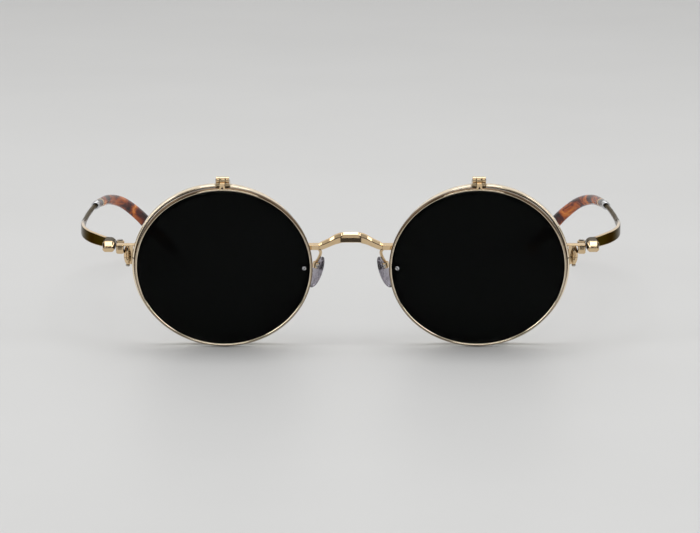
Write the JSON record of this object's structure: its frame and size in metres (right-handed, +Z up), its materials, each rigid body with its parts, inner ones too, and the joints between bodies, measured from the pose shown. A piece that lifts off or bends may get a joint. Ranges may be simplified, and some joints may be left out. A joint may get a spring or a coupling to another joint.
{
  "type": "folding glasses",
  "caption": "Round wire glasses with folding temples and dark lenses that flip up on hinges over clear lenses.",
  "frame": {"origin": "middle of the base of the bounding box of the glasses as they stand, temples open and flips down", "axes": "+Z up, the front faces -Y, the temples run back along +Y, +X to the right as seen from the front"},
  "size_m": [0.1562, 0.14, 0.0479],
  "materials": {
    "polished_gold": "polished gold plate",
    "screw_steel": "bright steel screws and pins",
    "ferrule_silver": "turned silver-coloured metal",
    "clear_lens": "clear, polished",
    "dark_lens": "dark grey-green tint, polished",
    "tortoise_acetate": "amber and brown tortoiseshell, polished",
    "pad_silicone": "clear soft silicone",
    "bumper_rubber": "black rubber"
  },
  "bodies": {
    "front": {"bridge": "polished_gold", "bridge_block_left": "polished_gold", "bridge_block_right": "polished_gold", "clear_lens_left": "clear_lens", "clear_lens_right": "clear_lens", "endpiece_left": "polished_gold", "endpiece_right": "polished_gold", "flip_hinge_bracket_left": "polished_gold", "flip_hinge_bracket_right": "polished_gold", "flip_hinge_pin_left": "screw_steel", "flip_hinge_pin_right": "screw_steel", "front_hinge_left": "polished_gold", "front_hinge_right": "polished_gold", "hinge_screw_left": "screw_steel", "hinge_screw_right": "screw_steel", "main_rim_left": "polished_gold", "main_rim_right": "polished_gold", "pad_arm_left": "polished_gold", "pad_arm_right": "polished_gold", "pad_box_left": "polished_gold", "pad_box_right": "polished_gold", "pad_screw_left": "screw_steel", "pad_screw_right": "screw_steel", "rim_lock_lower_left": "polished_gold", "rim_lock_lower_right": "polished_gold", "rim_lock_screw_left": "screw_steel", "rim_lock_screw_right": "screw_steel", "rim_lock_upper_left": "polished_gold", "rim_lock_upper_right": "polished_gold"},
    "flip_left": {"flip_rim_left": "polished_gold", "dark_lens_left": "dark_lens", "flip_saddle_left": "polished_gold", "bumper_peg_left": "ferrule_silver", "bumper_cushion_left": "bumper_rubber"},
    "flip_right": {"flip_rim_right": "polished_gold", "dark_lens_right": "dark_lens", "flip_saddle_right": "polished_gold", "bumper_peg_right": "ferrule_silver", "bumper_cushion_right": "bumper_rubber"},
    "temple_left": {"temple_hinge_left": "polished_gold", "temple_arm_left": "polished_gold", "ferrule_left": "ferrule_silver", "temple_tip_left": "tortoise_acetate"},
    "temple_right": {"temple_hinge_right": "polished_gold", "temple_arm_right": "polished_gold", "ferrule_right": "ferrule_silver", "temple_tip_right": "tortoise_acetate"},
    "pad_left": {"pad_stem_left": "screw_steel", "nose_pad_left": "pad_silicone"},
    "pad_right": {"pad_stem_right": "screw_steel", "nose_pad_right": "pad_silicone"}
  },
  "joints": [
    {"name": "temple_fold_left", "type": "hinge", "parent": "front", "child": "temple_left", "pos_m": [-0.0629, -0.05948, 0.02779], "axis": [0, -0.0537, -0.9986], "range_deg": [0, 88]},
    {"name": "temple_fold_right", "type": "hinge", "parent": "front", "child": "temple_right", "pos_m": [0.0629, -0.05948, 0.02779], "axis": [0, 0.0537, 0.9986], "range_deg": [0, 74]},
    {"name": "flip_up_left", "type": "hinge", "parent": "front", "child": "flip_left", "pos_m": [-0.0345, -0.06754, 0.04696], "axis": [-1, 0, 0], "range_deg": [0, 90]},
    {"name": "flip_up_right", "type": "hinge", "parent": "front", "child": "flip_right", "pos_m": [0.0345, -0.06754, 0.04696], "axis": [-1, 0, 0], "range_deg": [0, 90]},
    {"name": "pad_rock_left", "type": "hinge", "parent": "front", "child": "pad_left", "pos_m": [-0.00945, -0.05591, 0.02142], "axis": [-0.342, 0.9307, 0.1295], "range_deg": [-8, 8]},
    {"name": "pad_rock_right", "type": "hinge", "parent": "front", "child": "pad_right", "pos_m": [0.00945, -0.05591, 0.02142], "axis": [0.342, 0.9307, 0.1295], "range_deg": [-8, 8]}
  ]
}
